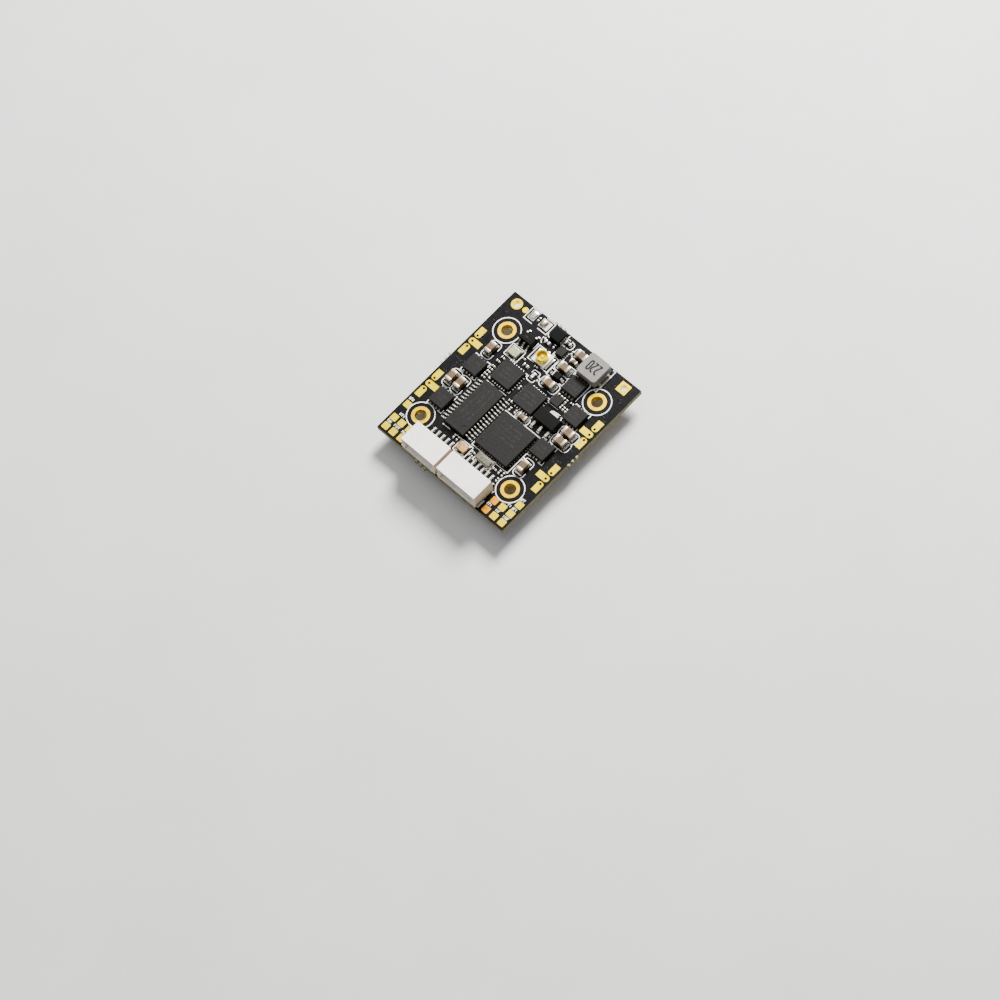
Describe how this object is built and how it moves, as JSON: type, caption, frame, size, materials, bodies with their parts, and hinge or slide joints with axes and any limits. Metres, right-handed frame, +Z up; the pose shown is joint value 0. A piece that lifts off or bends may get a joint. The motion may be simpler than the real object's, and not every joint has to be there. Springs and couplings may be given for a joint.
{
  "type": "flight controller board",
  "caption": "Flight controller board for a small drone: black board with plated mounting holes, motor and battery pads, white plug sockets, antenna socket and a USB socket below.",
  "frame": {"origin": "middle of the square of mounting holes, at the height of the lowest face, the flat of the USB shell under the board", "axes": "+Z up out of the side with the plug sockets, +Y from the plug sockets' edge to the battery edge, +X along the short edge to the right"},
  "size_m": [0.0286, 0.0326, 0.0066],
  "materials": {
    "solder_mask": "near-black solder mask over woven glass board, satin gloss",
    "gold_plating": "thin gold over nickel and copper, satin",
    "chip_plastic": "moulded black epoxy, fine matte grain",
    "inductor_grey": "grey-beige pressed ferrite compound, matte",
    "inductor_black": "black pressed ferrite compound, matte",
    "ceramic_tan": "tan-brown sintered ceramic with tinned ends",
    "crystal_lid": "pale grey-beige metal lid, satin",
    "tinned_metal": "bright tinned metal",
    "socket_white": "off-white moulded nylon, satin",
    "shell_steel": "drawn steel sheet, satin",
    "insert_black": "black moulded plastic",
    "button_grey": "dark grey moulded plastic"
  },
  "bodies": {
    "board": {"antenna_socket_base": "socket_white", "antenna_socket_pin": "gold_plating", "antenna_socket_shell": "gold_plating", "battery_pad_round": "gold_plating", "battery_pad_square": "gold_plating", "boot_button_base": "insert_black", "boot_button_cover": "shell_steel", "buck_chip": "chip_plastic", "capacitor_1": "ceramic_tan", "capacitor_2": "ceramic_tan", "capacitor_3": "ceramic_tan", "capacitor_4": "ceramic_tan", "capacitor_5": "ceramic_tan", "capacitor_6": "ceramic_tan", "capacitor_7": "ceramic_tan", "capacitor_8": "ceramic_tan", "capacitor_9": "ceramic_tan", "circuit_board": "solder_mask", "crystal_1": "crystal_lid", "crystal_2": "crystal_lid", "flash_chip": "chip_plastic", "gyro_chip": "chip_plastic", "inductor_core": "inductor_grey", "inductor_terminal_left": "tinned_metal", "inductor_terminal_right": "tinned_metal", "mcu_chip": "chip_plastic", "mosfet_1": "chip_plastic", "mosfet_2": "chip_plastic", "mosfet_3": "chip_plastic", "mosfet_4": "chip_plastic", "motor_driver_chip_1": "chip_plastic", "motor_driver_chip_2": "chip_plastic", "mount_ring_back_left": "gold_plating", "mount_ring_back_right": "gold_plating", "mount_ring_front_left": "gold_plating", "mount_ring_front_right": "gold_plating", "osd_chip": "chip_plastic", "plug_socket_5_contact_1": "tinned_metal", "plug_socket_5_contact_2": "tinned_metal", "plug_socket_5_contact_3": "tinned_metal", "plug_socket_5_contact_4": "tinned_metal", "plug_socket_5_contact_5": "tinned_metal", "plug_socket_5_housing": "socket_white", "plug_socket_6_contact_1": "tinned_metal", "plug_socket_6_contact_2": "tinned_metal", "plug_socket_6_contact_3": "tinned_metal", "plug_socket_6_contact_4": "tinned_metal", "plug_socket_6_contact_5": "tinned_metal", "plug_socket_6_contact_6": "tinned_metal", "plug_socket_6_housing": "socket_white", "power_diode": "chip_plastic", "power_regulator": "chip_plastic", "power_switch_chip": "chip_plastic", "resonator": "crystal_lid", "small_inductor": "inductor_black", "small_regulator": "chip_plastic", "usb_insert": "insert_black", "usb_shell": "shell_steel"},
    "button": {"boot_button": "button_grey"}
  },
  "joints": [
    {"name": "boot_button_press", "type": "slide", "parent": "board", "child": "button", "axis": [0, 0, 1], "range_m": [0, 0.00025], "stiffness_N_per_m": 4000}
  ]
}
